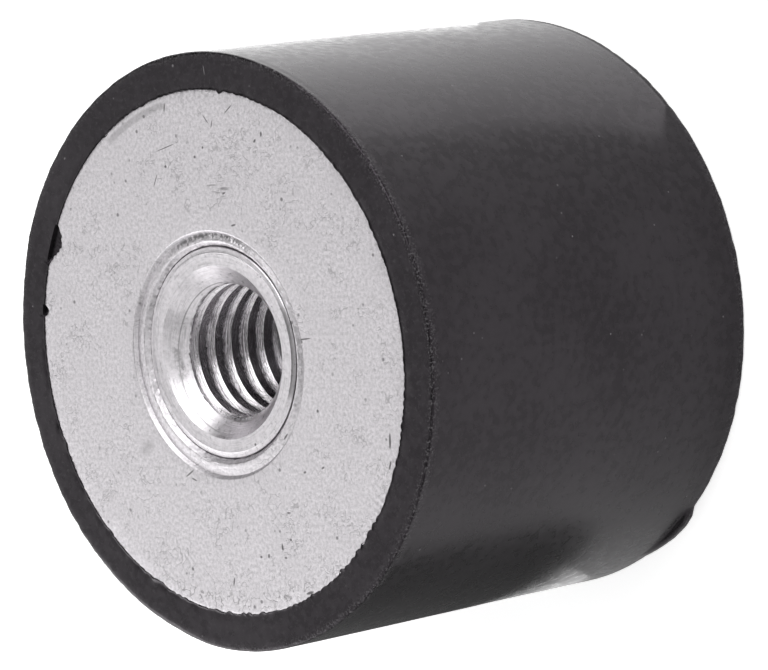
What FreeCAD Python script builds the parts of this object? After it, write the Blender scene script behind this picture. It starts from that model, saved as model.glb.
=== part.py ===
import FreeCAD, Part
import os
import Sketcher

# Bobbin vibration mount, in millimetres: a rubber cylinder with a steel plate bonded into each end
# and a blind threaded bush staked into each plate.
# The mount stands on its lower end. The origin is the centre of that end, and +Z is the axis.

# Each row is a size of its own: alias, value and what it measures.
SIZES = [
    ("mount_dia", "40", "outside diameter of the rubber"),
    ("mount_height", "30", "height over both end faces"),
    ("rim_wall", "2.5", "rubber wall round each plate"),
    ("rim_break", "0.15", "chamfer on the rubber's outer edges"),
    ("plate_thick", "2", "thickness of each steel plate"),
    ("plate_edge_break", "0.15", "chamfer on the plate's visible edge"),
    ("bore_dia", "8.5", "wall of the tapped hole, at the crests of an M10 thread"),
    ("bush_wall", "3", "wall of the bush round the tapped hole"),
    ("bush_sink", "0.35", "how far the bush's face lies below the plate's face"),
    ("bush_edge_break", "0.25", "chamfer on the bush that the staked lip closes over"),
    ("bore_depth", "9.8", "from the bush's face to the end of the hole's full width"),
    ("drill_cone", "0.9", "height of the cone at the bottom of the hole"),
    ("bush_floor", "0.9", "steel left under the cone"),
    ("countersink_rim", "1.2", "flat ring of the bush's face outside the right-angled countersink"),
    ("collar_width", "1.5", "how far the collar behind the plate stands out from the shank"),
    ("collar_thick", "1.5", "thickness of that collar"),
    ("tail_step", "0.5", "how much slimmer the bush is below the collar"),
    ("tail_chamfer", "0.8", "chamfer round the bush's closed end"),
    ("lip_slope", "0.3", "width of the slope from the bush's face up to the lip's crest"),
    ("lip_crest", "0.3", "width of the lip's flat crest"),
    ("stake_slope", "0.55", "width of the slope that the staking tool left behind the crest"),
    ("stake_step", "0.15", "width of the steep outer side of the staked groove"),
    ("stake_depth", "0.27", "depth of the staked groove"),
]

# Radii and depths that follow from the sizes. A depth is measured inwards from an end face.
OUTER_RADIUS = "(sizes.mount_dia / 2)"
PLATE_RADIUS = f"({OUTER_RADIUS} - sizes.rim_wall)"
BORE_RADIUS = "(sizes.bore_dia / 2)"
SHANK_RADIUS = "(sizes.bore_dia / 2 + sizes.bush_wall)"
FACE_RADIUS = f"({SHANK_RADIUS} - sizes.bush_edge_break)"
COLLAR_RADIUS = f"({SHANK_RADIUS} + sizes.collar_width)"
TAIL_RADIUS = f"({SHANK_RADIUS} - sizes.tail_step)"
COUNTERSINK_RADIUS = f"({FACE_RADIUS} - sizes.countersink_rim)"
CREST_INNER_RADIUS = f"({FACE_RADIUS} + sizes.lip_slope)"
CREST_OUTER_RADIUS = f"({CREST_INNER_RADIUS} + sizes.lip_crest)"
STAKE_BOTTOM_RADIUS = f"({CREST_OUTER_RADIUS} + sizes.stake_slope)"
STAKE_OUTER_RADIUS = f"({STAKE_BOTTOM_RADIUS} + sizes.stake_step)"
COLLAR_DEPTH = "(sizes.plate_thick + sizes.collar_thick)"
COUNTERSINK_DEPTH = f"(sizes.bush_sink + {COUNTERSINK_RADIUS} - {BORE_RADIUS})"
BORE_END_DEPTH = "(sizes.bush_sink + sizes.bore_depth)"
CONE_TIP_DEPTH = f"({BORE_END_DEPTH} + sizes.drill_cone)"
BUSH_END_DEPTH = f"({CONE_TIP_DEPTH} + sizes.bush_floor)"

# The bush behind the plate, from the collar's front edge to the axis. The rubber's seat has it too.
BUSH_BACK = [
    (COLLAR_RADIUS, "sizes.plate_thick"),
    (COLLAR_RADIUS, COLLAR_DEPTH),
    (TAIL_RADIUS, COLLAR_DEPTH),
    (TAIL_RADIUS, f"{BUSH_END_DEPTH} - sizes.tail_chamfer"),
    (f"{TAIL_RADIUS} - sizes.tail_chamfer", BUSH_END_DEPTH),
    ("0", BUSH_END_DEPTH),
]

document = FreeCAD.newDocument("bobbin_vibration_mount")


def size_sheet():
    """The spreadsheet that holds the driving dimensions, one row each."""
    sheet = document.addObject("Spreadsheet::Sheet", "sizes")
    for row, (alias, value, meaning) in enumerate(SIZES, start=1):
        sheet.set(f"A{row}", value)
        sheet.setAlias(f"A{row}", alias)
        sheet.set(f"B{row}", meaning)
    document.recompute()
    return sheet


def new_body(name):
    body = document.addObject("PartDesign::Body", name)
    body.Label = name
    return body


def origin_plane(body, role):
    for item in body.Origin.OriginFeatures:
        if item.Role == role:
            return item
    raise ValueError(f"{body.Label} has no {role}")


def attached_sketch(body, name, role):
    sketch = body.newObject("Sketcher::SketchObject", name)
    sketch.AttachmentSupport = [(origin_plane(body, role), "")]
    sketch.MapMode = "FlatFace"
    document.recompute()
    return sketch


def bind_corner(sketch, line, kind, axis, value, formula):
    """Hold one coordinate of a line's start: on an axis where it is zero, or at a bound distance."""
    if value == 0:
        sketch.addConstraint(Sketcher.Constraint("PointOnObject", line, 1, axis))
        return
    index = sketch.addConstraint(Sketcher.Constraint(kind, -1, 1, line, 1, value))
    sketch.setExpression(f"Constraints[{index}]", formula)


def section(body, name, corners):
    """A closed section on the XZ plane. Each corner is a radius and a depth, as formulas."""
    sketch = attached_sketch(body, name, "XZ_Plane")
    places = []
    for radius, depth in corners:
        radius_now = float(sketch.evalExpression(radius))
        depth_now = float(sketch.evalExpression(depth))
        places.append(FreeCAD.Vector(radius_now, depth_now, 0))
    count = len(places)
    for line in range(count):
        sketch.addGeometry(Part.LineSegment(places[line], places[(line + 1) % count]), False)
    for line in range(count):
        sketch.addConstraint(Sketcher.Constraint("Coincident", line, 2, (line + 1) % count, 1))
    for line, (radius, depth) in enumerate(corners):
        bind_corner(sketch, line, "DistanceX", -2, places[line].x, radius)
        bind_corner(sketch, line, "DistanceY", -1, places[line].y, depth)
    document.recompute()
    return sketch


def turned(body, kind, name, sketch):
    """Turn a section a full circle about the Z axis, as added or removed metal or rubber."""
    feature = body.newObject(kind, name)
    feature.Profile = sketch
    feature.ReferenceAxis = (sketch, ["V_Axis"])
    feature.Angle = 360
    document.recompute()
    return feature


def turned_solid(body, name, sketch):
    return turned(body, "PartDesign::Revolution", name, sketch)


def turned_cut(body, name, sketch):
    """A turned cut, which has to take something away."""
    before = body.Shape.Volume
    feature = turned(body, "PartDesign::Groove", name, sketch)
    if body.Shape.Volume >= before:
        raise ValueError(f"{name} cuts nothing from {body.Label}")
    return feature


def rim_edges(shape, radius, heights):
    """Names of the circular edges of this radius that lie at one of these heights."""
    names = []
    for number, edge in enumerate(shape.Edges, start=1):
        if not isinstance(edge.Curve, Part.Circle):
            continue
        at_height = any(abs(edge.Curve.Center.z - height) < 1e-6 for height in heights)
        if at_height and abs(edge.Curve.Radius - radius) < 1e-6:
            names.append(f"Edge{number}")
    return names


def chamfered_rims(body, name, base, radius_formula, heights, size_formula):
    """Chamfer the circular edges of one radius that lie at the given heights."""
    radius = float(body.evalExpression(radius_formula))
    chamfer = body.newObject("PartDesign::Chamfer", name)
    chamfer.Base = (base, rim_edges(base.Shape, radius, heights))
    chamfer.setExpression("Size", size_formula)
    document.recompute()
    return chamfer


def place_at_end(body, upper):
    """Leave a piece at the lower end, or turn it over and lift it to the upper end."""
    if not upper:
        body.Placement = FreeCAD.Placement()
        return
    turned_over = FreeCAD.Rotation(FreeCAD.Vector(1, 0, 0), 180)
    body.Placement = FreeCAD.Placement(FreeCAD.Vector(0, 0, 0), turned_over)
    body.setExpression("Placement.Base.z", "sizes.mount_height")


def steel_plate(name, upper):
    """A disc whose hole closes over the bush in a leaning lip, with the staked groove behind it."""
    body = new_body(name)
    disc = turned_solid(body, f"{name}_disc", section(body, f"{name}_disc_section", [
        (SHANK_RADIUS, "sizes.plate_thick"),
        (PLATE_RADIUS, "sizes.plate_thick"),
        (PLATE_RADIUS, "0"),
        (CREST_INNER_RADIUS, "0"),
        (FACE_RADIUS, "sizes.bush_sink"),
        (SHANK_RADIUS, "sizes.bush_sink + sizes.bush_edge_break"),
    ]))
    chamfered_rims(body, f"{name}_edge_break", disc, PLATE_RADIUS, [0], "sizes.plate_edge_break")
    turned_cut(body, f"{name}_staked_groove", section(body, f"{name}_groove_section", [
        (STAKE_OUTER_RADIUS, "0"),
        (STAKE_BOTTOM_RADIUS, "sizes.stake_depth"),
        (CREST_OUTER_RADIUS, "0"),
    ]))
    place_at_end(body, upper)
    return body


def threaded_bush(name, upper):
    """A turned bush: shank through the plate, collar behind it, slimmer tail and a blind hole."""
    body = new_body(name)
    turned_solid(body, f"{name}_turning", section(body, f"{name}_turning_section", [
        ("0", "sizes.bush_sink"),
        (FACE_RADIUS, "sizes.bush_sink"),
        (SHANK_RADIUS, "sizes.bush_sink + sizes.bush_edge_break"),
        (SHANK_RADIUS, "sizes.plate_thick"),
        *BUSH_BACK,
    ]))
    turned_cut(body, f"{name}_tapped_hole", section(body, f"{name}_hole_section", [
        ("0", "sizes.bush_sink"),
        (COUNTERSINK_RADIUS, "sizes.bush_sink"),
        (BORE_RADIUS, COUNTERSINK_DEPTH),
        (BORE_RADIUS, BORE_END_DEPTH),
        ("0", CONE_TIP_DEPTH),
    ]))
    place_at_end(body, upper)
    return body


def rubber_block(name):
    """The moulded rubber: a cylinder with a seat for a plate and its bush in each end."""
    body = new_body(name)
    outline = attached_sketch(body, f"{name}_outline", "XY_Plane")
    outer_radius = float(outline.evalExpression(OUTER_RADIUS))
    centre = FreeCAD.Vector(0, 0, 0)
    upright = FreeCAD.Vector(0, 0, 1)
    outline.addGeometry(Part.Circle(centre, upright, outer_radius), False)
    outline.addConstraint(Sketcher.Constraint("Coincident", 0, 3, -1, 1))
    width = outline.addConstraint(Sketcher.Constraint("Radius", 0, outer_radius))
    outline.setExpression(f"Constraints[{width}]", OUTER_RADIUS)
    cylinder = body.newObject("PartDesign::Pad", f"{name}_cylinder")
    cylinder.Profile = outline
    cylinder.setExpression("Length", "sizes.mount_height")
    document.recompute()
    both_ends = [0, float(body.evalExpression("sizes.mount_height"))]
    chamfered_rims(body, f"{name}_rim_break", cylinder, OUTER_RADIUS, both_ends, "sizes.rim_break")
    seat = turned_cut(body, f"{name}_lower_seat", section(body, f"{name}_seat_section", [
        ("0", "0"),
        (PLATE_RADIUS, "0"),
        (PLATE_RADIUS, "sizes.plate_thick"),
        *BUSH_BACK,
    ]))
    middle = body.newObject("PartDesign::Plane", f"{name}_middle")
    middle.AttachmentSupport = [(origin_plane(body, "XY_Plane"), "")]
    middle.MapMode = "FlatFace"
    middle.setExpression("AttachmentOffset.Base.z", "sizes.mount_height / 2")
    document.recompute()
    before = body.Shape.Volume
    upper_seat = body.newObject("PartDesign::Mirrored", f"{name}_upper_seat")
    upper_seat.Originals = [seat]
    upper_seat.MirrorPlane = (middle, [""])
    body.Tip = upper_seat
    document.recompute()
    if body.Shape.Volume >= before:
        raise ValueError("the upper seat cuts nothing from the rubber")
    return body


def check_document(pieces):
    """Every object recomputed without an error, and every piece is one valid solid."""
    document.recompute()
    for item in document.Objects:
        if "Invalid" in item.State or "Error" in item.State:
            raise ValueError(f"{item.Name} is {item.State}")
    for piece in pieces:
        if piece.Shape.isNull() or not piece.Shape.isValid() or len(piece.Shape.Solids) != 1:
            raise ValueError(f"{piece.Label} is not one valid solid")


size_sheet()
pieces = [
    rubber_block("rubber_body"),
    steel_plate("lower_plate", upper=False),
    steel_plate("upper_plate", upper=True),
    threaded_bush("lower_bush", upper=False),
    threaded_bush("upper_bush", upper=True),
]
check_document(pieces)

os.makedirs("parts", exist_ok=True)
for piece in pieces:
    piece.Shape.exportStep(f"parts/{piece.Label}.step")
    box = piece.Shape.BoundBox
    print(f"{piece.Label}: {piece.Shape.Volume:.1f} mm3, z {box.ZMin:.2f} to {box.ZMax:.2f}")
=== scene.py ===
import math
from collections import namedtuple

import bmesh
import bpy
import numpy as np
from mathutils import Matrix, Vector


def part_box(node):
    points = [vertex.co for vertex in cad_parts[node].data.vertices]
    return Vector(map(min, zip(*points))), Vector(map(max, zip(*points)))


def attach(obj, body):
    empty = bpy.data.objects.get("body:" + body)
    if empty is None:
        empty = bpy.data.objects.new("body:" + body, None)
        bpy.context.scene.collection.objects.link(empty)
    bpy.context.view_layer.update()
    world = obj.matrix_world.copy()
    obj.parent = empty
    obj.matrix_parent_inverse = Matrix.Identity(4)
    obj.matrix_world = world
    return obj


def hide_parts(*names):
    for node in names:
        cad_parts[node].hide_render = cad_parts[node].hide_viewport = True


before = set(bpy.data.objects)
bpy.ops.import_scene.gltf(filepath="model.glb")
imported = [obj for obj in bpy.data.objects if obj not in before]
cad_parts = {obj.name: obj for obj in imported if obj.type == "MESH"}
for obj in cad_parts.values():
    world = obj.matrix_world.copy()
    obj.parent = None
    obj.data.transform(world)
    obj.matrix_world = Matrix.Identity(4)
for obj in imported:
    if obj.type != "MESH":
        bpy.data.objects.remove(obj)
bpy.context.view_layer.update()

# Bobbin vibration mount standing on its lower end, in metres, +Z along its axis.
# Angles round the axis start at +X, which is the photograph's right on the visible end face.

MM = 0.001

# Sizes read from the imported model
BODY_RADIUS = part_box("rubber_body")[1][0]
BODY_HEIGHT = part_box("rubber_body")[1][2]
PLATE_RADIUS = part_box("upper_plate")[1][0]
PLATE_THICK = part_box("lower_plate")[1][2]
COLLAR_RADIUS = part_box("upper_bush")[1][0]
BUSH_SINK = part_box("lower_bush")[0][2]
BUSH_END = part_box("lower_bush")[1][2]

# Sizes of the forms inside those boxes, as in the model. A depth is measured from the end face.
PLATE_EDGE_ROUND = 0.15 * MM
COLLAR_DEPTH = PLATE_THICK + 1.5 * MM
SHANK_RADIUS = 7.25 * MM
FACE_RADIUS = 7.0 * MM
TAIL_RADIUS = 6.75 * MM
TAIL_CHAMFER = 0.8 * MM
COUNTERSINK_RADIUS = 5.8 * MM
BORE_END = BUSH_SINK + 9.8 * MM
CONE_TIP = BORE_END + 0.9 * MM

# Sizes taken closer to the photograph, all within 0.2 mm of the model's
RIM_ROUND = 0.16 * MM
LIP_RADIUS = 7.14 * MM
LIP_CREST_RADIUS = 7.5 * MM
LIP_CREST_SINK = 0.14 * MM
STAKE_BOTTOM_RADIUS = 8.08 * MM
STAKE_OUTER_RADIUS = 8.28 * MM
STAKE_DEPTH = 0.26 * MM
STAKE_SHIFT_X = -0.12 * MM
STAKE_SHIFT_Y = -0.14 * MM

# The thread: M10, with wide torn crests that stand 0.2 mm outside the model's plain bore
THREAD_PITCH = 1.5 * MM
THREAD_CREST_RADIUS = 4.45 * MM
THREAD_ROOT_RADIUS = 4.97 * MM
THREAD_CREST_FLAT = 0.74 * MM
THREAD_ROOT_FLAT = 0.14 * MM
# Where a crest's inner corner lies at the photograph's left
THREAD_CORNER_DEPTH = 3.07 * MM


# Noise and marks round the circle

def angles(columns):
    return np.arange(columns) * 2 * math.pi / columns


def ring_noise(theta, lowest, highest, seed):
    """Smooth noise round the circle, about -1 to 1, from waves of these counts per turn."""
    chance = np.random.default_rng(seed)
    waves = np.arange(lowest, highest + 1)
    sizes = chance.normal(size=len(waves)) / np.sqrt(len(waves))
    shifts = chance.uniform(0, 2 * math.pi, len(waves))
    return (np.cos(np.outer(theta, waves) + shifts) * sizes).sum(axis=1)


def degrees_from(theta, centre_deg):
    """Signed angle from a direction, in degrees from -180 to 180."""
    return np.degrees(np.angle(np.exp(1j * (theta - math.radians(centre_deg)))))


def bump_at(theta, centre_deg, half_width_deg, sharpness):
    """1 at the centre angle, falling to 0 at the half width."""
    away = degrees_from(theta, centre_deg)
    return np.clip(1 - np.abs(away / half_width_deg) ** sharpness, 0, 1)


def window(theta, start_deg, end_deg, soft_deg):
    """1 between two angles, with soft ends."""
    away = np.abs(degrees_from(theta, (start_deg + end_deg) / 2))
    half = (end_deg - start_deg) / 2
    return np.clip((half - away) / soft_deg + 0.5, 0, 1)


# Meshes turned about the axis

def add_rows(vertices, faces, rows, theta):
    """Add a grid: each row is a radius and a height, as numbers or one value for each column."""
    first = len(vertices)
    columns = len(theta)
    for radius, height in rows:
        around = np.broadcast_to(np.asarray(radius, dtype=float), (columns,))
        up = np.broadcast_to(np.asarray(height, dtype=float), (columns,))
        points = np.stack([around * np.cos(theta), around * np.sin(theta), up], axis=1)
        vertices.extend(map(tuple, points))
    for row in range(len(rows) - 1):
        low = first + row * columns
        high = low + columns
        for column in range(columns):
            after = (column + 1) % columns
            faces.append((low + column, low + after, high + after, high + column))


def finish_mesh(name, vertices, faces, sharp_deg):
    """Merge points that coincide, which closes the solid, face it outwards and shade it smooth."""
    mesh = bpy.data.meshes.new(name)
    mesh.from_pydata(vertices, [], faces)
    shape = bmesh.new()
    shape.from_mesh(mesh)
    bmesh.ops.remove_doubles(shape, verts=shape.verts, dist=1e-7)
    bmesh.ops.dissolve_degenerate(shape, edges=shape.edges, dist=1e-8)
    bmesh.ops.recalc_face_normals(shape, faces=shape.faces)
    shape.to_mesh(mesh)
    shape.free()
    mesh.shade_smooth()
    mesh.set_sharp_from_angle(angle=math.radians(sharp_deg))
    piece = bpy.data.objects.new(name, mesh)
    bpy.context.scene.collection.objects.link(piece)
    return piece


def turned_piece(name, rows, theta, sharp_deg):
    """A solid whose section is these rows."""
    vertices = []
    faces = []
    add_rows(vertices, faces, rows, theta)
    return finish_mesh(name, vertices, faces, sharp_deg)


def at_end(rows, upper):
    """Turn depths below an end face into heights."""
    if upper:
        return [(radius, BODY_HEIGHT - depth) for radius, depth in rows]
    return rows


# Marks of moulding and wear on each end, by angle in degrees:
# notches in the plate's edge that the rubber fills, and bites of thin rubber that run over the plate,
# each with its centre, half width, length and sharpness;
# rags, the scalloped stretches of the plate's edge, with start, end and depth;
# wear, the worn stretches of the rubber's outer corner, with start, end and width;
# knurl, the start and end of the stretch where the staked groove has the tool's marks.
EndMarks = namedtuple("EndMarks", "notches bites rags wear knurl rubber_seed plate_seed")

UPPER_MARKS = EndMarks(
    notches=[
        (153.9, 4.0, 0.85 * MM, 2.8),
        (156.9, 2.8, 0.45 * MM, 1.3),
        (170.4, 1.4, 0.46 * MM, 1.8),
    ],
    bites=[
        (82.4, 1.2, 0.25 * MM, 1.2),
        (122.4, 1.3, 0.16 * MM, 1.5),
        (184.7, 1.0, 0.10 * MM, 1.2),
        (201.0, 1.8, 0.16 * MM, 1.5),
        (224.5, 1.2, 0.12 * MM, 1.4),
        (244.0, 2.6, 0.18 * MM, 1.6),
        (262.0, 2.0, 0.10 * MM, 1.6),
        (294.0, 1.0, 0.20 * MM, 1.3),
        (312.0, 1.2, 0.20 * MM, 1.4),
        (318.0, 1.4, 0.28 * MM, 1.4),
        (345.0, 0.9, 0.18 * MM, 1.4),
    ],
    rags=[
        (232, 352, 0.10 * MM),
        (352, 420, 0.04 * MM),
        (60, 150, 0.04 * MM),
        (150, 232, 0.03 * MM),
    ],
    wear=[
        (88, 146, 0.07 * MM),
        (160, 222, 0.18 * MM),
        (222, 256, 0.32 * MM),
        (256, 300, 0.06 * MM),
    ],
    knurl=(62, 128),
    rubber_seed=100,
    plate_seed=900,
)
LOWER_MARKS = EndMarks(
    notches=[(40.0, 2.2, 0.35 * MM, 1.6)],
    bites=[(131.0, 1.0, 0.2 * MM, 1.5), (262.0, 1.6, 0.3 * MM, 1.4)],
    rags=[(20, 150, 0.06 * MM), (200, 340, 0.04 * MM)],
    wear=[(10, 70, 0.06 * MM), (190, 240, 0.1 * MM)],
    knurl=(200, 260),
    rubber_seed=300,
    plate_seed=950,
)
MARK_RAGGED = 0.12
NOTCH_DEPTH = 0.45 * MM
NOTCH_FULL = 0.3 * MM


def bitten(theta, bites, seed):
    """How far notches or bites run in from the plate's edge."""
    depth = np.zeros(len(theta))
    edge = 1 + MARK_RAGGED * ring_noise(theta, 90, 300, seed + 2)
    for centre, half_width, length, sharpness in bites:
        depth = np.maximum(depth, bump_at(theta, centre, half_width, sharpness) * length * edge)
    return depth


# The rubber

RUBBER_COLUMNS = 1440
RUBBER_SHARP_DEG = 50

# The thin rubber over the plate's edge: how far it runs in, its thickness and its rounded inner edge
OVERLAP_AT_RIGHT = 0.055 * MM
OVERLAP_WAVE = 0.012 * MM
OVERLAP_LEAST = -0.05 * MM
RAG_SOFT = 6
FILM = 0.03 * MM
FILM_ROUND = 0.03 * MM
FILM_SLOPE = 0.08 * MM
FILM_SLOPE_DROP = 0.02 * MM
FILM_END = 0.14 * MM
FILM_END_DROP = 0.03 * MM

# The flat ring of rubber outside the plate, and the worn corner outside that
FLAT_START = PLATE_RADIUS + 0.2 * MM
FLAT_STEPS = 5
FLAT_WAVE = 0.012 * MM
ROUND_STEPS = 4
ROUND_WAVE = 0.006 * MM
WEAR_SOFT = 9

# Hollow and bead beside each rim, in mm: depth below the end face and how far they stand out
RIM_BEAD = [(0.35, -0.008), (0.58, -0.003), (0.78, 0.004), (0.95, 0.002), (1.02, 0.001), (1.3, 0.0)]
BEAD_WAVE = 0.003 * MM
BEAD_SWELL = 0.8
BEAD_GAP = 0.02 * MM

# The side between the beads
SIDE_START = RIM_BEAD[-1][0] * MM
SIDE_STEPS = 14
SIDE_WAVE = 0.015 * MM
SIDE_SEED = 500

# The tab of flash on the far rim, a thin ledge: its outline is a share of its reach at each angle
# from its start, in degrees, and it tapers over the last share of its height.
TAB_START = -62.5
TAB_AWAY = [0, 2, 5, 9, 13, 15.5, 17.5]
TAB_SHAPE = [0, 0.25, 0.55, 0.9, 1.0, 0.75, 0]
TAB_HEIGHT = 0.85 * MM
TAB_TAPER = 0.2
TAB_REACH = 0.38 * MM
TAB_FILL = 0.8


def plate_overlap(theta, marks):
    """How far the rubber runs in over the plate's edge, all round, away from the notches."""
    seed = marks.rubber_seed
    overlap = OVERLAP_AT_RIGHT * np.cos(theta) + OVERLAP_WAVE * ring_noise(theta, 2, 40, seed)
    scallops = np.abs(ring_noise(theta, 24, 130, seed + 1))
    for start, end, depth in marks.rags:
        overlap = overlap + window(theta, start, end, RAG_SOFT) * depth * scallops
    return np.maximum(overlap, OVERLAP_LEAST)


def rubber_seat(theta, marks):
    """Rows where the rubber holds the bush and the plate, from the axis to its thin lip."""
    seed = marks.rubber_seed
    notch = bitten(theta, marks.notches, seed)
    over = np.maximum(plate_overlap(theta, marks), bitten(theta, marks.bites, seed + 50))
    inner = PLATE_RADIUS - np.maximum(over, notch)
    film = FILM * (1 + 0.5 * ring_noise(theta, 20, 120, seed + 3))
    sunk = np.clip(notch / NOTCH_FULL, 0, 1)
    lip = sunk * NOTCH_DEPTH - (1 - sunk) * film
    return [
        (0, BUSH_END),
        (TAIL_RADIUS - TAIL_CHAMFER, BUSH_END),
        (TAIL_RADIUS, BUSH_END - TAIL_CHAMFER),
        (TAIL_RADIUS, COLLAR_DEPTH),
        (COLLAR_RADIUS, COLLAR_DEPTH),
        (COLLAR_RADIUS, PLATE_THICK),
        (PLATE_RADIUS, PLATE_THICK),
        (PLATE_RADIUS, 2 * NOTCH_DEPTH),
        (inner, NOTCH_DEPTH + 0.2 * MM),
        (inner, lip + FILM_ROUND),
        (inner + FILM_ROUND, lip),
        (inner + FILM_SLOPE, 0.8 * lip + FILM_SLOPE_DROP),
        (PLATE_RADIUS + FILM_END, 0.6 * lip + FILM_END_DROP),
    ]


def rubber_rim(theta, marks):
    """Rows of the flat ring, the worn corner and the bead of one end."""
    seed = marks.rubber_seed
    rounding = RIM_ROUND * (1 + 0.2 * ring_noise(theta, 5, 90, seed + 4))
    for begin, finish, width in marks.wear:
        rounding = rounding + width * window(theta, begin, finish, WEAR_SOFT)
    flat_end = BODY_RADIUS - rounding
    rows = []
    for step in range(FLAT_STEPS + 1):
        share = step / FLAT_STEPS
        wave = FLAT_WAVE * ring_noise(theta, 8, 60, seed + 10 + step) * (1 - share)
        rows.append((FLAT_START + share * (flat_end - FLAT_START), wave))
    for step in range(1, ROUND_STEPS + 1):
        turn = 0.5 * math.pi * step / ROUND_STEPS
        worn = ROUND_WAVE * ring_noise(theta, 30, 260, seed + 20 + step) * math.sin(2 * turn)
        radius = flat_end + rounding * math.sin(turn) - worn
        depth = rounding * (1 - math.cos(turn)) + worn
        rows.append((radius, depth))
    waves = BEAD_WAVE * ring_noise(theta, 6, 70, seed + 30)
    swell = 1 + BEAD_SWELL * ring_noise(theta, 2, 24, seed + 40)
    for depth, out in RIM_BEAD:
        rows.append((BODY_RADIUS + out * swell * MM + waves, np.maximum(rounding + BEAD_GAP, depth * MM)))
    return rows


def with_tab(rows, theta):
    """Push the outer rows near the end face outwards where the flash tab stands."""
    along = np.interp(degrees_from(theta, TAB_START), TAB_AWAY, TAB_SHAPE, left=0, right=0)
    changed = []
    for radius, depth in rows:
        level = float(np.mean(depth))
        outer = float(np.mean(radius)) > BODY_RADIUS - 2 * RIM_ROUND
        if outer and level < TAB_HEIGHT:
            share = min(1, (1 - level / TAB_HEIGHT) / TAB_TAPER)
            radius = radius + along * (TAB_REACH * share + (BODY_RADIUS - radius) * TAB_FILL)
        changed.append((radius, depth))
    return changed


def build_rubber():
    theta = angles(RUBBER_COLUMNS)
    lower = rubber_seat(theta, LOWER_MARKS) + with_tab(rubber_rim(theta, LOWER_MARKS), theta)
    upper = rubber_seat(theta, UPPER_MARKS) + rubber_rim(theta, UPPER_MARKS)
    side = []
    for step in range(1, SIDE_STEPS):
        height = SIDE_START + (BODY_HEIGHT - 2 * SIDE_START) * step / SIDE_STEPS
        wave = SIDE_WAVE * ring_noise(theta, 2, 14, SIDE_SEED + step // 3)
        side.append((BODY_RADIUS + wave, height))
    rows = at_end(lower, False) + side + at_end(upper, True)[::-1]
    return turned_piece("rubber", rows, theta, RUBBER_SHARP_DEG)


# The plates

PLATE_COLUMNS = 1440
PLATE_SHARP_DEG = 40

# The lip and the staked groove
LIP_FOOT = BUSH_SINK + 0.4 * MM
LIP_UNDERCUT = 0.02 * MM
LIP_EDGE_DEPTH = BUSH_SINK + 0.12 * MM
LIP_EDGE_WIDTH = 0.1 * MM
LIP_EDGE_WAVE = 0.012 * MM
LIP_CREST_INNER = LIP_CREST_RADIUS - 0.08 * MM
LIP_CREST_OUTER = LIP_CREST_RADIUS + 0.06 * MM
STAKE_OUTER_DEPTH = 0.01 * MM
STAKE_END = STAKE_OUTER_RADIUS + 0.1 * MM
STAKE_SHIFT_WIDTH = 0.5 * MM
STAKE_STEPS = 29
STAKE_WAVE = 0.010 * MM
# The tool's marks in the groove: where they are deepest, how wide they are, and how softly they end
KNURL_RADIUS = STAKE_BOTTOM_RADIUS - 0.3 * MM
KNURL_WIDTH = 0.22 * MM
KNURL_DEPTH = 0.010 * MM
KNURL_SOFT = 16
KNURL_ELSEWHERE = 0.12

# The flat, with rows at these radii in mm, and the rim, which reaches a little under the rubber's lip
FACE_RADII = [9.2, 10.5, 12.0, 13.5, 15.0, 16.2]
EDGE_COVERED = 0.06 * MM
EDGE_STEPS = 5
EDGE_DENT = 0.02 * MM


def staked_depth(radius):
    """Plain depth of the plate's face between the lip and the flat, at one radius."""
    knots = [LIP_RADIUS, LIP_CREST_INNER, LIP_CREST_OUTER,
             STAKE_BOTTOM_RADIUS, STAKE_OUTER_RADIUS, STAKE_END]
    depths = [LIP_EDGE_DEPTH, LIP_CREST_SINK, LIP_CREST_SINK, STAKE_DEPTH, STAKE_OUTER_DEPTH, 0]
    return float(np.interp(radius, knots, depths))


def staked_rows(theta, marks):
    """Rows from the plate's back edge at the hole over the lip and the groove to the flat."""
    seed = marks.plate_seed
    marked = window(theta, marks.knurl[0], marks.knurl[1], KNURL_SOFT) + KNURL_ELSEWHERE
    lip_edge = LIP_EDGE_WAVE * ring_noise(theta, 10, 150, seed)
    rows = [
        (SHANK_RADIUS, PLATE_THICK),
        (SHANK_RADIUS, LIP_FOOT + 0.05 * MM),
        (LIP_RADIUS + LIP_UNDERCUT, LIP_FOOT),
    ]
    for step in range(STAKE_STEPS + 1):
        share = step / STAKE_STEPS
        radius = LIP_RADIUS + share * (STAKE_END - LIP_RADIUS)
        in_groove = math.exp(-((radius - KNURL_RADIUS) / KNURL_WIDTH) ** 2)
        on_lip = math.exp(-((radius - LIP_RADIUS) / LIP_EDGE_WIDTH) ** 2)
        knurl = KNURL_DEPTH * in_groove * marked * ring_noise(theta, 90, 200, seed + 1 + step // 6)
        wave = STAKE_WAVE * ring_noise(theta, 4, 70, seed + 40 + step // 2)
        shifted = np.clip((radius - LIP_CREST_RADIUS) / STAKE_SHIFT_WIDTH, 0, 1)
        shift = shifted * (STAKE_SHIFT_X * np.cos(theta) + STAKE_SHIFT_Y * np.sin(theta))
        depth = staked_depth(radius) + knurl + wave * (1 - share)
        rows.append((radius + shift + on_lip * lip_edge, depth))
    return rows


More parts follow.
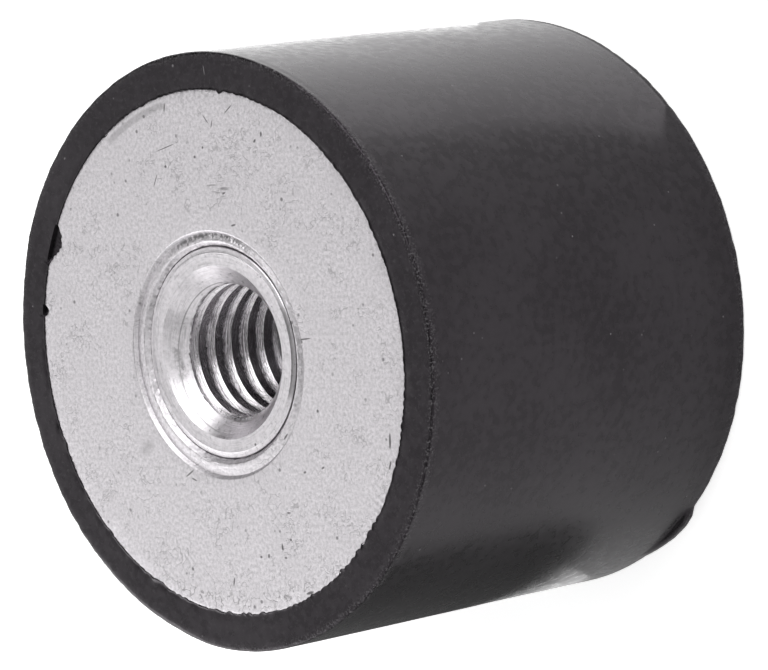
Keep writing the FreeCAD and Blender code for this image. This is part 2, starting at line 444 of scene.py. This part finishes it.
def plate_rim_rows(theta, marks):
    """Rows of the dented rounded edge, and of the side and back behind it."""
    notch = bitten(theta, marks.notches, marks.rubber_seed)
    dents = np.abs(ring_noise(theta, 20, 160, marks.plate_seed + 70)) * EDGE_DENT
    edge = PLATE_RADIUS + EDGE_COVERED - notch
    rounding = PLATE_EDGE_ROUND * (1 - 0.5 * np.clip(notch / NOTCH_FULL, 0, 1))
    rows = [(edge - rounding - 0.12 * MM, 0.2 * dents)]
    for step in range(1, EDGE_STEPS + 1):
        turn = 0.5 * math.pi * step / EDGE_STEPS
        radius = edge - rounding * (1 - math.sin(turn)) - 0.4 * dents
        rows.append((radius, rounding * (1 - math.cos(turn)) + dents))
    rows.append((edge, 2 * NOTCH_DEPTH))
    rows.append((PLATE_RADIUS, 2 * NOTCH_DEPTH + 0.1 * MM))
    rows.append((PLATE_RADIUS, PLATE_THICK))
    rows.append((SHANK_RADIUS, PLATE_THICK))
    return rows


def build_plate(name, upper, marks):
    theta = angles(PLATE_COLUMNS)
    flat = [(radius * MM, 0) for radius in FACE_RADII]
    rows = staked_rows(theta, marks) + flat + plate_rim_rows(theta, marks)
    return turned_piece(name, at_end(rows, upper), theta, PLATE_SHARP_DEG)


# The bushes

BUSH_COLUMNS = 360
BUSH_SHARP_DEG = 32

# The edge under the plate's lip, and the fine ridge and groove that turning left on the face
EDGE_FOOT = BUSH_SINK + 0.5 * MM
EDGE_WALL = 0.07 * MM
FACE_ROUND = 0.05 * MM
FACE_DROP = 0.02 * MM
RIDGE_RADIUS = 6.68 * MM
RIDGE_HEIGHT = 0.010 * MM
RIDGE_WIDTH = 0.06 * MM
RIDGE_GROOVE = 0.012 * MM

# The thread's broken corner, its fading end, and the rows on each stretch of one pitch
THREAD_CORNER = 0.035 * MM
THREAD_CORNER_BREAK = 0.3
THREAD_FADE = 1.2 * MM
THREAD_ROWS = [1, 6, 2, 6, 9, 1]
# The grid starts this many pitches above the bush's face, where it is clamped flat.
THREAD_LEAD = 2
# The tap tore the crest's inner corner by about this much, over this share of a pitch.
TEAR = 0.06 * MM
TEAR_LONG = 0.7
TEAR_FINE = 1.1
TEAR_SHARE = 0.06
TAP_STREAK = 0.006 * MM


def cone_radius(depth):
    """Radius of the right-angled countersink at a depth, which goes on shrinking below its end."""
    return COUNTERSINK_RADIUS - (depth - BUSH_SINK)


def thread_section():
    """Lengths along the axis and radii of one pitch, from the crest's inner corner inwards."""
    flank = (THREAD_PITCH - THREAD_CREST_FLAT - THREAD_ROOT_FLAT) / 2
    slope = (THREAD_ROOT_RADIUS - THREAD_CREST_RADIUS) / flank
    lengths = [THREAD_CORNER, flank - THREAD_CORNER, THREAD_ROOT_FLAT, flank,
               THREAD_CREST_FLAT - THREAD_CORNER, THREAD_CORNER]
    corner = THREAD_CREST_RADIUS + THREAD_CORNER_BREAK * slope * THREAD_CORNER
    radii = [corner, THREAD_CREST_RADIUS + slope * THREAD_CORNER, THREAD_ROOT_RADIUS,
             THREAD_ROOT_RADIUS, THREAD_CREST_RADIUS, THREAD_CREST_RADIUS, corner]
    return lengths, radii


def thread_radius(share, depth):
    """Radius of the tapped wall at a share of one pitch, fading out at the bottom of the hole."""
    lengths, radii = thread_section()
    stations = np.cumsum([0] + lengths) / THREAD_PITCH
    cut = np.interp(share, stations, radii) - THREAD_CREST_RADIUS
    fade = np.clip((BORE_END - depth) / THREAD_FADE, 0, 1)
    return THREAD_CREST_RADIUS + cut * fade


def thread_shares():
    """Rows of one pitch as shares of it, with a row on each corner of the thread's section."""
    lengths = thread_section()[0]
    shares = []
    start = 0
    for length, steps in zip(lengths, THREAD_ROWS):
        for step in range(steps):
            shares.append((start + length * step / steps) / THREAD_PITCH)
        start += length
    return shares


def thread_row(theta, shares, row):
    """Radii and depths along one row of the grid, which goes one pitch deeper in a turn."""
    share = shares[row % len(shares)]
    # The crest's corner has its known depth half a turn round, where the grid's angle is pi.
    offset = (THREAD_CORNER_DEPTH - BUSH_SINK - 0.5 * THREAD_PITCH) % THREAD_PITCH
    start = (row // len(shares) - THREAD_LEAD + share) * THREAD_PITCH + offset
    lift = BUSH_SINK + start + THREAD_PITCH * np.arange(len(theta)) / len(theta)
    torn = max(0, 1 - min(share, 1 - share) / TEAR_SHARE)
    turn = (row + len(shares) // 2) // len(shares)
    long_waves = TEAR_LONG * ring_noise(theta, 3, 14, 3 + turn)
    fine_waves = TEAR_FINE * ring_noise(theta, 24, 130, 30 + turn)
    depth = np.clip(lift + TEAR * torn * (long_waves + fine_waves), BUSH_SINK, BORE_END)
    streak = TAP_STREAK * ring_noise(theta, 1, 12, 60 + row)
    radius = np.maximum(thread_radius(share, depth) + streak, cone_radius(depth))
    return np.where(depth >= BORE_END, THREAD_CREST_RADIUS, radius), depth


def add_thread(vertices, faces, theta, upper, hand):
    """The tapped wall as a grid that winds with the thread, clamped flat at its two ends."""
    first = len(vertices)
    columns = len(theta)
    shares = thread_shares()
    turns = (BORE_END - BUSH_SINK) / THREAD_PITCH
    rows = math.ceil((turns + THREAD_LEAD) * len(shares)) + 1
    for row in range(rows):
        radius, depth = thread_row(theta, shares, row)
        height = BODY_HEIGHT - depth if upper else depth
        points = np.stack([radius * np.cos(theta), hand * radius * np.sin(theta), height], axis=1)
        vertices.extend(map(tuple, points))
    for row in range(rows - 1):
        for column in range(columns):
            low = first + row * columns + column
            high = low + columns
            if column + 1 < columns:
                faces.append((low, low + 1, high + 1, high))
            elif row + len(shares) + 1 < rows:
                # The end of a turn meets the start of the row that is one pitch deeper.
                wrapped = first + (row + len(shares)) * columns
                faces.append((low, wrapped, wrapped + columns, high))


def build_bush(name, upper):
    theta = angles(BUSH_COLUMNS)
    outside = [
        (0, BUSH_END),
        (TAIL_RADIUS - TAIL_CHAMFER, BUSH_END),
        (TAIL_RADIUS, BUSH_END - TAIL_CHAMFER),
        (TAIL_RADIUS, COLLAR_DEPTH),
        (COLLAR_RADIUS, COLLAR_DEPTH),
        (COLLAR_RADIUS, PLATE_THICK),
        (SHANK_RADIUS, PLATE_THICK),
        (SHANK_RADIUS, EDGE_FOOT),
        (FACE_RADIUS + EDGE_WALL, EDGE_FOOT - FACE_ROUND),
        (FACE_RADIUS + FACE_ROUND, BUSH_SINK + FACE_DROP + FACE_ROUND),
        (FACE_RADIUS, BUSH_SINK + FACE_DROP),
        (RIDGE_RADIUS + 0.05 * MM, BUSH_SINK + RIDGE_GROOVE),
        (RIDGE_RADIUS, BUSH_SINK - RIDGE_HEIGHT),
        (RIDGE_RADIUS - RIDGE_WIDTH, BUSH_SINK),
        (COUNTERSINK_RADIUS, BUSH_SINK),
    ]
    bottom = [
        (THREAD_CREST_RADIUS, BORE_END),
        (0.5 * THREAD_CREST_RADIUS, 0.5 * (BORE_END + CONE_TIP)),
        (0, CONE_TIP),
    ]
    vertices = []
    faces = []
    # A right-hand thread winds the other way about +Z when depth is counted downwards.
    hand = -1 if upper else 1
    add_rows(vertices, faces, at_end(outside, upper), theta)
    add_rows(vertices, faces, at_end(bottom, upper), theta)
    add_thread(vertices, faces, theta, upper, hand)
    return finish_mesh(name, vertices, faces, BUSH_SHARP_DEG)


# Shader nodes

def grey(level):
    """A colour that is grey with the faint magenta cast of the photograph."""
    return (level, level * 0.965, level, 1.0)


class Surface:
    """A material under construction, with short calls for the nodes that it needs."""

    def __init__(self, name):
        self.material = bpy.data.materials.new(name)
        self.material.use_nodes = True
        self.tree = self.material.node_tree
        self.shader = self.tree.nodes["Principled BSDF"]
        self.place = self.node("ShaderNodeTexCoord").outputs["Object"]

    def node(self, kind, **settings):
        made = self.tree.nodes.new(kind)
        for key, value in settings.items():
            setattr(made, key, value)
        return made

    def feed(self, socket, value):
        """Give a socket a number or colour, or the output of another node."""
        if isinstance(value, (int, float, tuple)):
            socket.default_value = value
        else:
            self.tree.links.new(value, socket)

    def set_shader(self, name, value):
        self.feed(self.shader.inputs[name], value)

    def maths(self, operation, first, second=0.0):
        made = self.node("ShaderNodeMath", operation=operation)
        self.feed(made.inputs[0], first)
        self.feed(made.inputs[1], second)
        return made.outputs[0]

    def times(self, first, second):
        return self.maths("MULTIPLY", first, second)

    def plus(self, first, second):
        return self.maths("ADD", first, second)

    def minus(self, first, second):
        return self.maths("SUBTRACT", first, second)

    def largest(self, *values):
        result = values[0]
        for value in values[1:]:
            result = self.maths("MAXIMUM", result, value)
        return result

    def noise(self, scale, detail, roughness, place=None):
        made = self.node("ShaderNodeTexNoise")
        self.feed(made.inputs["Vector"], place or self.place)
        self.feed(made.inputs["Scale"], scale)
        self.feed(made.inputs["Detail"], detail)
        self.feed(made.inputs["Roughness"], roughness)
        return made.outputs["Fac"]

    def dots(self, scale, inner, outer):
        """1 inside small round dots, one in each cell, falling to 0 between the two radii."""
        made = self.node("ShaderNodeTexVoronoi", feature="F1")
        self.feed(made.inputs["Vector"], self.place)
        self.feed(made.inputs["Scale"], scale)
        return self.ramp(made.outputs["Distance"], inner, outer, 1.0, 0.0)

    def ramp(self, value, low, high, start=0.0, end=1.0):
        """Lead smoothly from start to end while the value goes from low to high."""
        made = self.node("ShaderNodeMapRange", interpolation_type="SMOOTHSTEP")
        self.feed(made.inputs["Value"], value)
        self.feed(made.inputs["From Min"], low)
        self.feed(made.inputs["From Max"], high)
        self.feed(made.inputs["To Min"], start)
        self.feed(made.inputs["To Max"], end)
        return made.outputs["Result"]

    def blend(self, share, first, second):
        """Mix two colours, whose sockets are the node's inputs 6 and 7 and its output 2."""
        made = self.node("ShaderNodeMix", data_type="RGBA")
        self.feed(made.inputs["Factor"], share)
        self.feed(made.inputs[6], first)
        self.feed(made.inputs[7], second)
        return made.outputs[2]

    def paint(self, base, mask, strength, level):
        """Lay a grey over a colour where the mask is 1."""
        return self.blend(self.times(mask, strength), base, grey(level))

    def bump(self, height, strength, distance):
        made = self.node("ShaderNodeBump")
        self.feed(made.inputs["Strength"], strength)
        self.feed(made.inputs["Distance"], distance)
        self.feed(made.inputs["Height"], height)
        self.set_shader("Normal", made.outputs["Normal"])

    def axes(self):
        made = self.node("ShaderNodeSeparateXYZ")
        self.feed(made.inputs[0], self.place)
        return list(made.outputs)

    def radius(self):
        x, y = self.axes()[:2]
        return self.maths("SQRT", self.plus(self.times(x, x), self.times(y, y)))

    def angle(self):
        """Angle round the axis from the photograph's left, so that the seam lies at the right.
        It is positive in the lower half of the photograph."""
        x, y = self.axes()[:2]
        return self.maths("ARCTAN2", self.times(y, -1.0), self.times(x, -1.0))

    def band(self, value, low, high, soft):
        """1 where the value lies between low and high."""
        rise = self.ramp(value, low - soft, low + soft)
        fall = self.ramp(value, high - soft, high + soft, 1.0, 0.0)
        return self.times(rise, fall)

    def sector(self, angle, start_deg, end_deg, soft_deg):
        """1 where the angle lies between two, given in degrees."""
        return self.band(angle, math.radians(start_deg), math.radians(end_deg), math.radians(soft_deg))

    def patch(self, x, y, half_length, half_width, turn_deg, soft=0.3):
        """1 inside an upright column of elliptical section, given in mm, which marks the end faces."""
        made = self.node("ShaderNodeMapping", vector_type="TEXTURE")
        self.feed(made.inputs["Vector"], self.place)
        self.feed(made.inputs["Location"], (x * MM, y * MM, 0))
        self.feed(made.inputs["Rotation"], (0, 0, math.radians(turn_deg)))
        self.feed(made.inputs["Scale"], (half_length * MM, half_width * MM, 1e6))
        distance = self.node("ShaderNodeVectorMath", operation="LENGTH")
        self.feed(distance.inputs[0], made.outputs["Vector"])
        return self.ramp(distance.outputs["Value"], 1 - soft, 1 + soft, 1.0, 0.0)

    def patches(self, rows):
        return self.largest(*[self.patch(*row) for row in rows])

    def stretched(self, first, second, third=0.0):
        """Noise coordinates from three values."""
        made = self.node("ShaderNodeCombineXYZ")
        for socket, value in zip(made.inputs, (first, second, third)):
            self.feed(socket, value)
        return made.outputs[0]

    def crossing(self, waves, middle, width):
        """Thin lines where a noise crosses a value."""
        return self.ramp(self.maths("ABSOLUTE", self.minus(waves, middle)), 0.0, width, 1.0, 0.0)

    def squiggles(self, scale, width, share_scale, share_low):
        """Thin wandering lines, in some places only."""
        line = self.crossing(self.noise(scale, 2, 0.5), 0.5, width)
        return self.times(line, self.ramp(self.noise(share_scale, 2, 0.6), share_low, share_low + 0.05))


# Marks that the photograph shows: x, y, half length and half width in mm, and turn in degrees.
# The hidden end has them at the same places, because both ends share their materials.
RIM_SPECKS = [
    (-2.0, 19.15, 0.09, 0.09, 0),
    (-13.75, 13.3, 0.09, 0.06, 40),
    (1.0, 18.75, 0.3, 0.04, 95),
    (-8.2, 17.2, 0.05, 0.05, 0),
]
BUSH_DOTS = [(2.5, -6.1, 0.09, 0.09, 0), (4.4, 5.0, 0.05, 0.05, 0)]
PLATE_MARKS = [
    (5.96, 14.37, 0.16, 0.09, 80),
    (5.30, 13.95, 0.14, 0.08, 40),
    (-0.62, 13.06, 0.10, 0.09, 0),
    (0.23, 13.66, 0.08, 0.08, 0),
    (-3.58, 12.49, 0.11, 0.09, 0),
    (2.57, 8.47, 0.22, 0.06, 10),
    (1.91, 10.59, 0.16, 0.05, 20),
    (-3.20, 16.42, 0.30, 0.06, 80),
    (-3.45, 13.75, 0.95, 0.03, 14),
    (3.0, 16.1, 0.45, 0.04, 35),
    (0.75, 15.5, 0.35, 0.04, -50),
    (1.3, 15.2, 0.30, 0.04, 70),
    (-4.7, 11.6, 0.45, 0.035, 62),
    (9.1, -3.75, 0.1, 0.1, 0),
    (8.45, 0.95, 0.55, 0.05, 5),
    (8.08, 0.75, 0.14, 0.12, 0),
    (5.65, -5.5, 0.28, 0.05, 45),
    (-3.8, -8.1, 0.45, 0.05, 30),
    (-3.4, -8.5, 0.25, 0.05, -20),
    (15.58, -5.6, 0.50, 0.09, 85),
    (15.4, -7.2, 0.30, 0.07, 70),
    (5.52, -12.31, 0.09, 0.09, 0),
    (4.64, -12.80, 0.20, 0.07, 85),
    (3.27, -13.45, 0.15, 0.08, 80),
    (4.90, -13.52, 0.14, 0.05, 0),
    (2.52, -13.54, 0.10, 0.07, 0),
    (5.55, -10.52, 0.18, 0.05, 0),
    (7.41, -7.80, 0.12, 0.07, 20),
    (9.15, -7.47, 0.15, 0.06, 30),
    (-0.35, -15.3, 0.28, 0.06, 75),
    (6.91, -15.77, 0.35, 0.09, 15),
]


# The rubber's look

def corner_dust(surface, from_end):
    """Pale dust on the worn outer corners."""
    corner = surface.band(surface.radius(), BODY_RADIUS - 0.35 * MM, BODY_RADIUS + 1 * MM, 0.3 * MM)
    corner = surface.times(corner, surface.band(from_end, -0.5 * MM, 0.5 * MM, 0.45 * MM))
    return surface.times(corner, surface.ramp(surface.noise(6500, 2, 0.6), 0.48, 0.7))


def end_grain(surface, from_end):
    """Fine pale grain on the two end rings."""
    on_end = surface.ramp(from_end, 0.02 * MM, 0.1 * MM, 1.0, 0.0)
    return surface.times(on_end, surface.ramp(surface.noise(3600, 3, 0.7), 0.52, 0.7))


def rubber_specks(surface, from_end):
    """Pale specks by chance in some places, and those that the rim has in the photograph."""
    some_places = surface.ramp(surface.noise(420, 2, 0.5), 0.58, 0.64)
    by_chance = surface.times(surface.dots(1100, 0.05, 0.1), some_places)
    near_end = surface.ramp(from_end, 0.0, 0.5 * MM, 1.0, 0.0)
    return surface.largest(by_chance, surface.times(surface.patches(RIM_SPECKS), near_end))


def rubber_material():
    surface = Surface("black_rubber")
    height = surface.axes()[2]
    from_end = surface.maths("MINIMUM", surface.minus(BODY_HEIGHT, height), height)
    dust = corner_dust(surface, from_end)
    clouds = surface.noise(110, 2, 0.5)
    curls = surface.noise(1500, 1.5, 0.5)
    base = surface.blend(surface.ramp(clouds, 0.35, 0.7), grey(0.004), grey(0.009))
    base = surface.paint(base, dust, 0.7, 0.13)
    base = surface.paint(base, end_grain(surface, from_end), 0.5, 0.045)
    base = surface.paint(base, rubber_specks(surface, from_end), 0.6, 0.22)
    surface.set_shader("Base Color", base)
    mottle = surface.plus(surface.times(curls, 0.65), surface.times(clouds, 0.35))
    surface.set_shader("Specular IOR Level", surface.ramp(mottle, 0.36, 0.64, 0.29, 0.39))
    surface.set_shader("Specular Tint", (1.0, 0.86, 1.0, 1.0))
    rough = surface.ramp(mottle, 0.34, 0.66, 0.24, 0.34)
    surface.set_shader("Roughness", surface.plus(rough, surface.times(dust, 0.15)))
    surface.bump(surface.plus(surface.times(dust, 0.5), curls), 0.25, 0.04 * MM)
    return surface.material


# The plates' look

def scratched_patch(surface):
    """Fine level scratches in a patch above the hole."""
    x, y = surface.axes()[:2]
    level = surface.stretched(surface.times(x, 700.0), surface.times(y, 7000.0))
    scratches = surface.ramp(surface.noise(1.0, 2, 0.6, level), 0.5, 0.66)
    return surface.times(surface.patch(1.4, 10.9, 1.1, 0.75, 0, 0.6), scratches)


def worn_edges(surface, radius, angle):
    """A dull stretch of the edge at the upper left, and flakes along the edge at the bottom."""
    dull = surface.times(surface.band(radius, 16.7 * MM, 17.15 * MM, 0.1 * MM),
                         surface.sector(angle, -79, -58, 1.5))
    worn = surface.times(surface.band(radius, 16.3 * MM, 17.2 * MM, 0.3 * MM),
                         surface.sector(angle, 66, 116, 6))
    flakes = surface.crossing(surface.noise(1100, 2, 0.5), 0.47, 0.03)
    return surface.largest(surface.times(dull, 0.45), surface.times(worn, flakes))


def knurl_teeth(surface, radius, angle):
    """Dark teeth where the staking tool marked the groove at the top."""
    groove = surface.times(surface.band(radius, 7.72 * MM, 8.0 * MM, 0.12 * MM),
                           surface.sector(angle, -112, -62, 10))
    teeth = surface.stretched(surface.times(radius, 2500.0), surface.times(angle, 28.0))
    return surface.times(groove, surface.ramp(surface.noise(1.0, 2, 0.6, teeth), 0.40, 0.52))


def plate_smudges(surface):
    """All the soft grey places that the photograph shows on the plate."""
    radius = surface.radius()
    angle = surface.angle()
    smudge = surface.times(surface.patch(-7.9, -6.4, 0.7, 0.4, 30, 0.7), 0.4)
    teeth = surface.times(knurl_teeth(surface, radius, angle), 1.25)
    return surface.largest(scratched_patch(surface), smudge, worn_edges(surface, radius, angle), teeth)


def zinc_material():
    surface = Surface("zinc_plated_steel")
    mottle = surface.noise(4200, 4, 0.7)
    cloudy = surface.ramp(surface.noise(300, 3, 0.6), 0.4, 0.7)
    hair = surface.largest(surface.squiggles(700, 0.016, 380, 0.545),
                           surface.squiggles(1700, 0.03, 520, 0.55))
    some_places = surface.ramp(surface.noise(300, 2, 0.5), 0.47, 0.57)
    pits = surface.times(surface.dots(900, 0.07, 0.15), some_places)
    smudges = plate_smudges(surface)
    base = surface.blend(surface.ramp(mottle, 0.3, 0.7), grey(0.54), grey(0.82))
    base = surface.paint(base, cloudy, 0.3, 0.64)
    base = surface.paint(base, hair, 0.45, 0.28)
    base = surface.paint(base, pits, 0.8, 0.17)
    base = surface.paint(base, smudges, 0.75, 0.2)
    base = surface.paint(base, surface.patches(PLATE_MARKS), 0.85, 0.08)
    surface.set_shader("Base Color", base)
    surface.set_shader("Metallic", 1.0)
    surface.set_shader("Roughness", surface.ramp(mottle, 0.25, 0.75, 0.36, 0.5))
    sunk = surface.plus(surface.times(hair, 0.6), surface.times(smudges, 0.4))
    surface.bump(surface.minus(mottle, sunk), 0.7, 0.02 * MM)
    return surface.material


# The bushes' look

# The fine dark spiral line in the countersink: its depth at the camera's left and its rise per radian
SPIRAL_DEPTH = 1.07 * MM
SPIRAL_RISE = 0.324 * MM
SPIRAL_HALF_WIDTH = 0.03 * MM
# Lines of turning and tapping in a metre
TURNING_LINES = 14000.0


def turning_lines(surface, radius, angle, height):
    """Fine lines of turning and tapping, which run round the axis and rise with the thread."""
    along = surface.minus(height, surface.times(angle, THREAD_PITCH / (2 * math.pi)))
    lines = surface.stretched(surface.times(radius, TURNING_LINES), surface.times(along, TURNING_LINES),
                              surface.times(angle, 2.5))
    return surface.noise(1.0, 3, 0.6, lines)


def countersink_marks(surface, angle, below):
    """A darker patch at the left of the countersink, and a fine dark spiral line."""
    place = surface.times(surface.sector(angle, -9, 22, 4),
                          surface.band(below, 0.85 * MM, 1.2 * MM, 0.12 * MM))
    worn = surface.times(place, surface.ramp(surface.noise(2600, 3, 0.6), 0.35, 0.6))
    from_line = surface.plus(surface.minus(below, SPIRAL_DEPTH), surface.times(angle, SPIRAL_RISE))
    spiral = surface.times(surface.band(from_line, -SPIRAL_HALF_WIDTH, SPIRAL_HALF_WIDTH, 0.02 * MM),
                           surface.sector(angle, -95, 75, 20))
    return surface.largest(worn, spiral)


def face_ring_painted_shade(surface, radius, angle):
    """Painted shade: a dark band along the face's outer ring at the camera's right, standing for the shade
    in the gap under the plate's lip.
    """
    ring = surface.band(radius, RIDGE_RADIUS, FACE_RADIUS + 0.2 * MM, 0.06 * MM)
    from_left = surface.maths("ABSOLUTE", angle)
    return surface.times(ring, surface.ramp(from_left, math.radians(150), math.radians(160)))


def hole_bottom_painted_shade(surface, radius, below):
    """Painted shade: the bottom of the visible hole darkened, standing for the shade deep in the hole."""
    bottom = surface.band(below, 9.5 * MM, 12.0 * MM, 0.5 * MM)
    return surface.times(bottom, surface.ramp(radius, THREAD_ROOT_RADIUS, COUNTERSINK_RADIUS, 0.92, 0.0))


def turned_material():
    surface = Surface("turned_steel")
    height = surface.axes()[2]
    radius = surface.radius()
    angle = surface.angle()
    below = surface.minus(BODY_HEIGHT, height)
    turning = turning_lines(surface, radius, angle, height)
    mottle = surface.noise(3600, 4, 0.65)
    inside = surface.band(below, 1.9 * MM, 20 * MM, 0.2 * MM)
    marks_and_painted_shade = surface.largest(countersink_marks(surface, angle, below), face_ring_painted_shade(surface, radius, angle))
    base = surface.blend(surface.ramp(mottle, 0.3, 0.7), grey(0.62), grey(0.80))
    base = surface.paint(base, inside, 0.5, 0.76)
    base = surface.blend(surface.ramp(turning, 0.5, 0.72, 0.0, 0.5), base, grey(0.3))
    # This lays painted shade on the face's outer ring, together with the countersink's dark marks.
    base = surface.paint(base, marks_and_painted_shade, 0.6, 0.14)
    base = surface.paint(base, surface.patches(BUSH_DOTS), 0.85, 0.08)
    # Painted shade darkens the bottom of the hole here.
    base = surface.blend(hole_bottom_painted_shade(surface, radius, below), base, grey(0.07))
    surface.set_shader("Base Color", base)
    surface.set_shader("Metallic", 1.0)
    rough = surface.ramp(mottle, 0.25, 0.75, 0.26, 0.38)
    surface.set_shader("Roughness", surface.minus(rough, surface.times(inside, 0.19)))
    lined = surface.times(turning, surface.ramp(inside, 0.0, 1.0, 1.2, 2.6))
    surface.bump(surface.plus(lined, surface.times(mottle, 0.5)), 0.7, 0.02 * MM)
    return surface.material


# Pieces, materials and bodies

def dress(piece, node, material):
    piece.data.materials.append(material)
    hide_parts(node)
    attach(piece, "root")


zinc = zinc_material()
turned_steel = turned_material()
dress(build_rubber(), "rubber_body", rubber_material())
dress(build_plate("visible_plate", True, UPPER_MARKS), "upper_plate", zinc)
dress(build_plate("hidden_plate", False, LOWER_MARKS), "lower_plate", zinc)
dress(build_bush("visible_bush", True), "upper_bush", turned_steel)
dress(build_bush("hidden_bush", False), "lower_bush", turned_steel)


# Floor

FLOOR_HALF = 1.5
FLOOR_GLOW = 0.5
MIRRORED_GLOW = 0.12

# The grey card beside the mount: left, right, near and far edge, and height
FLAG_EDGES = (-0.16, 0.0145, -0.16, -0.024, 0.0002)
FLAG_GREY = 0.22


def flat_card(name, left, right, near, far, height):
    """A level rectangle on the stage, with its own material."""
    mesh = bpy.data.meshes.new(name)
    corners = [(left, near, height), (right, near, height), (right, far, height), (left, far, height)]
    mesh.from_pydata(corners, [], [(0, 1, 2, 3)])
    card = bpy.data.objects.new(name, mesh)
    bpy.context.scene.collection.objects.link(card)
    material = bpy.data.materials.new(name)
    material.use_nodes = True
    mesh.materials.append(material)
    return card


def build_floor():
    """White paper, which keeps the mount's shadow and looks a little lighter than it is lit."""
    floor = flat_card("floor", -FLOOR_HALF, FLOOR_HALF, -FLOOR_HALF, FLOOR_HALF, 0)
    tree = floor.data.materials[0].node_tree
    shader = tree.nodes["Principled BSDF"]
    shader.inputs["Base Color"].default_value = (0.95, 0.95, 0.95, 1.0)
    shader.inputs["Roughness"].default_value = 0.9
    shader.inputs["Specular IOR Level"].default_value = 0.0
    shader.inputs["Emission Color"].default_value = (1, 1, 1, 1)
    rays = tree.nodes.new("ShaderNodeLightPath")
    glow = None
    for kind, strength in (("Is Camera Ray", FLOOR_GLOW), ("Is Transmission Ray", FLOOR_GLOW),
                           ("Is Glossy Ray", MIRRORED_GLOW)):
        share = tree.nodes.new("ShaderNodeMath")
        share.operation = "MULTIPLY_ADD"
        share.inputs[1].default_value = strength
        share.inputs[2].default_value = 0.0
        tree.links.new(rays.outputs[kind], share.inputs[0])
        if glow:
            tree.links.new(glow, share.inputs[2])
        glow = share.outputs[0]
    tree.links.new(glow, shader.inputs["Emission Strength"])


def build_flag():
    """Grey card beside the mount, unseen by the camera, which the rubber's lower side mirrors."""
    flag = flat_card("flag", *FLAG_EDGES)
    shader = flag.data.materials[0].node_tree.nodes["Principled BSDF"]
    shader.inputs["Base Color"].default_value = (FLAG_GREY, FLAG_GREY, FLAG_GREY, 1.0)
    shader.inputs["Roughness"].default_value = 1.0
    flag.visible_camera = False
    flag.visible_diffuse = False
    flag.visible_shadow = False


build_floor()
build_flag()


# Lights

LAMP_DISTANCE = 0.6
# Square lamps aimed at the mount: name, direction, width and the share of full white that they
# give a level white floor
SOFTBOXES = [
    ("key", (0.1, 0.70, 0.70), 0.62, 0.50),
    ("fill", (-0.78, -0.2, 0.60), 0.58, 0.12),
    ("low", (0.0, -0.74, 0.67), 0.55, 0.15),
    ("front", (0.8, -0.08, 0.58), 0.6, 0.12),
    ("corner", (-0.74, -0.64, 0.16), 0.5, 0.062),
]
# Panels that lie glowing on the floor: name, centre, length, width, turn in degrees and radiance.
# The part of the upper one that would lie under the mount is hidden inside the rubber.
TABLE_LIGHTS = [
    ("upper_panel", (-0.04125, 0.06675, 0.0005), 0.1175, 0.1065, 0, 0.76),
    ("edge_strip", (-0.031, 0.0240, 0.0008), 0.058, 0.0066, -11.3, 1.5),
    ("lower_strip", (-0.0128, -0.0217, 0.0005), 0.0345, 0.0028, 0, 1.1),
]
WORLD_STRENGTH = 0.07


def softbox(name, direction, width, floor_share):
    towards = Vector(direction).normalized()
    lamp = bpy.data.lights.new(name, "AREA")
    lamp.shape = "SQUARE"
    lamp.size = width
    spread = LAMP_DISTANCE ** 2 + width ** 2 / math.pi
    lamp.energy = floor_share * math.pi ** 2 * spread / towards.z
    holder = bpy.data.objects.new(name, lamp)
    holder.location = Vector((0, 0, BODY_HEIGHT)) + towards * LAMP_DISTANCE
    holder.rotation_euler = towards.to_track_quat("Z", "Y").to_euler()
    bpy.context.scene.collection.objects.link(holder)


def table_light(name, centre, length, width, turn_deg, radiance):
    """A glowing panel, unseen by the camera, which the rubber's side mirrors."""
    lamp = bpy.data.lights.new(name, "AREA")
    lamp.shape = "RECTANGLE"
    lamp.size = length
    lamp.size_y = width
    lamp.energy = radiance * math.pi * length * width
    holder = bpy.data.objects.new(name, lamp)
    holder.location = centre
    holder.rotation_euler = (math.pi, 0, math.radians(turn_deg))
    holder.visible_camera = False
    bpy.context.scene.collection.objects.link(holder)


def build_world():
    world = bpy.data.worlds.new("studio")
    world.use_nodes = True
    background = world.node_tree.nodes["Background"]
    background.inputs["Color"].default_value = (1, 1, 1, 1)
    background.inputs["Strength"].default_value = WORLD_STRENGTH
    bpy.context.scene.world = world


for row in SOFTBOXES:
    softbox(*row)
for row in TABLE_LIGHTS:
    table_light(*row)
build_world()
bpy.context.scene.view_settings.view_transform = "Standard"


# Camera, fitted to the photograph's 768 by 670 pixels

IMAGE_WIDTH = 768
SENSOR_WIDTH = 36.0
FOCAL_PIXELS = 4792.9
AXIS_TILT = math.radians(45.98)
AXIS_TURN = math.radians(-9.32)
FACE_CENTRE_IN_VIEW = Vector((-0.5493, -0.0606, -15.8565)) * BODY_RADIUS


def build_camera():
    """Camera space has x right, y up and z towards the viewer. The mount's axis is known in it."""
    into_body = Vector((math.sin(AXIS_TILT) * math.cos(AXIS_TURN),
                        -math.sin(AXIS_TILT) * math.sin(AXIS_TURN),
                        -math.cos(AXIS_TILT)))
    view_up = Vector((0, 1, 0))
    face_up = (view_up - into_body * view_up.dot(into_body)).normalized()
    face_out = -into_body
    face_right = face_up.cross(face_out)
    from_view = Matrix((face_right, face_up, face_out))
    eye = Vector((0, 0, BODY_HEIGHT)) - from_view @ FACE_CENTRE_IN_VIEW
    data = bpy.data.cameras.new("camera")
    data.sensor_width = SENSOR_WIDTH
    data.lens = FOCAL_PIXELS * SENSOR_WIDTH / IMAGE_WIDTH
    camera = bpy.data.objects.new("camera", data)
    camera.matrix_world = Matrix.Translation(eye) @ from_view.to_4x4()
    bpy.context.scene.collection.objects.link(camera)
    bpy.context.scene.camera = camera


build_camera()
